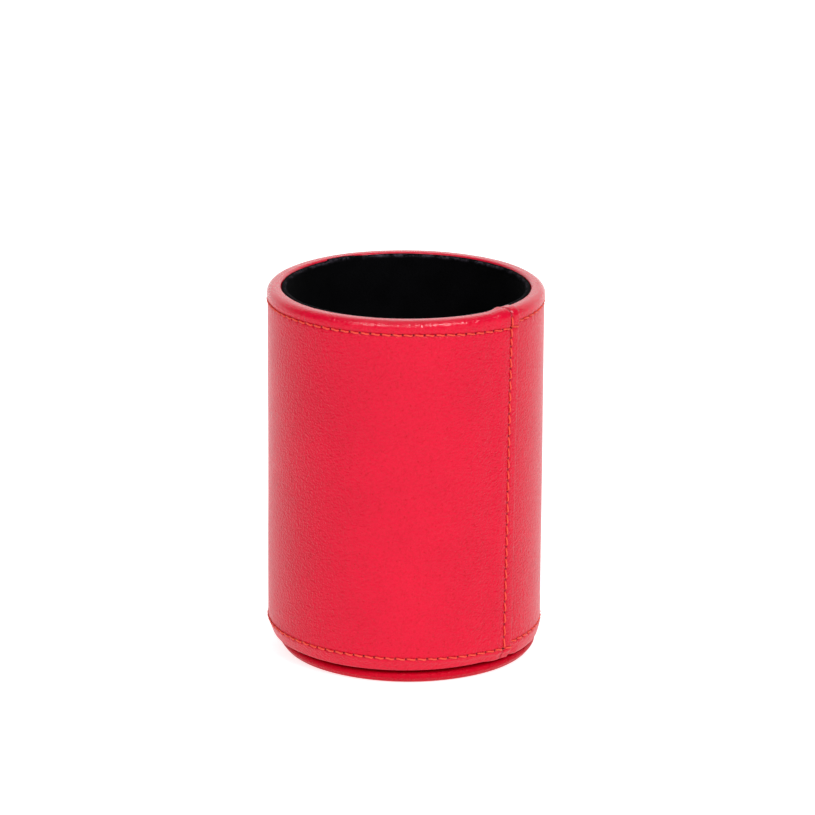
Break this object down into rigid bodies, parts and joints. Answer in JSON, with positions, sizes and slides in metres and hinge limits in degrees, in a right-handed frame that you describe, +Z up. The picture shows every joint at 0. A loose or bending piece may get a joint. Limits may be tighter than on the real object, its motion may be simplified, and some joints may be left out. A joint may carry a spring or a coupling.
{
  "type": "pen holder cup",
  "caption": "Round leather-covered pen cup with stitched rim, hem and lapped side seam, black velvet lining and a separate flat base disc.",
  "frame": {"origin": "on the table, under the middle of the cup", "axes": "+Z up along the cup's axis; +X towards the lapped side seam, whose free edge faces +Y"},
  "size_m": [0.081, 0.0804, 0.1092],
  "materials": {
    "red_leather": "smooth finished leather, soft satin sheen",
    "orange_thread": "twisted polyester sewing thread",
    "bobbin_thread": "twisted polyester sewing thread",
    "backing_fabric": "thin woven cotton",
    "greyboard": "matt recycled greyboard",
    "lining_card": "matt black-dyed card",
    "black_velvet": "short-pile velvet",
    "black_felt": "pressed felt"
  },
  "bodies": {
    "root": {"body_leather": "red_leather", "base_leather": "red_leather", "top_stitching": "orange_thread", "bottom_stitching": "orange_thread", "seam_stitching": "orange_thread", "top_bobbin_thread": "bobbin_thread", "bottom_bobbin_thread": "bobbin_thread", "seam_bobbin_thread": "bobbin_thread", "sleeve_backing": "backing_fabric", "core_tube": "greyboard", "bottom_board": "greyboard", "base_card": "greyboard", "lining_card": "lining_card", "floor_card": "lining_card", "lining_velvet": "black_velvet", "floor_velvet": "black_velvet", "base_pad": "black_felt"}
  },
  "joints": []
}
